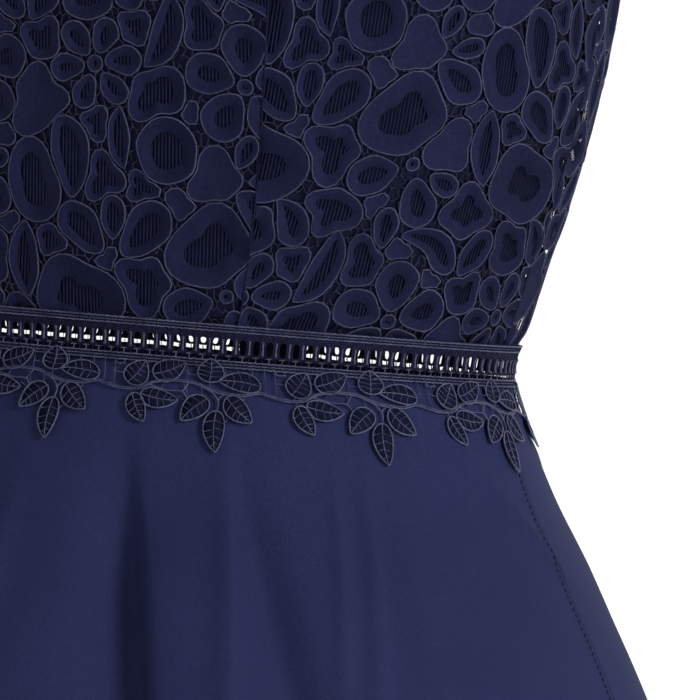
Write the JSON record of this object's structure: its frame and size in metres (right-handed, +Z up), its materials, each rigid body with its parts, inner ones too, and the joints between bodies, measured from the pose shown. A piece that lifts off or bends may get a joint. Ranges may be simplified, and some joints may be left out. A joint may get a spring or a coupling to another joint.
{
  "type": "sleeveless lace and crepe cocktail dress, worn form",
  "caption": "Knee-length sleeveless dress in its hollow worn form: corded lace bodice over a front lining, openwork ladder and leaf trim at the waist, flared plain skirt, centre back zip.",
  "frame": {"origin": "midway between the tops of the two shoulder seams, where the wearer's shoulders carry the dress", "axes": "+Z up along the wearer, -Y the way the wearer faces, +X towards the wearer's left"},
  "size_m": [0.7055, 0.6255, 0.9752],
  "materials": {
    "lace": "matte navy corded lace",
    "lining": "navy satin lining",
    "trim": "navy guipure trim, corded",
    "crepe": "soft navy crepe with a faint sheen",
    "tape": "navy woven zip tape",
    "metal": "navy enamelled zip metal"
  },
  "bodies": {
    "dress": {"lace_front_center": "lace", "lace_side_front_left": "lace", "lace_side_front_right": "lace", "lace_back_left": "lace", "lace_back_right": "lace", "lining_front_center": "lining", "lining_side_front_left": "lining", "lining_side_front_right": "lining", "trim_top_braid": "trim", "trim_ladder": "trim", "trim_bottom_braid": "trim", "trim_leaf_edging": "trim", "skirt_front": "crepe", "skirt_back_left": "crepe", "skirt_back_right": "crepe", "zip_tape_left": "tape", "zip_tape_right": "tape", "zip_chain": "tape", "zip_slider": "metal"},
    "zip_pull": {"zip_pull": "metal"}
  },
  "joints": [
    {"name": "pull_tab_hinge", "type": "hinge", "parent": "dress", "child": "zip_pull", "pos_m": [0, 0.08694, -0.07073], "axis": [1, 0, 0], "range_deg": [0, 165]}
  ]
}
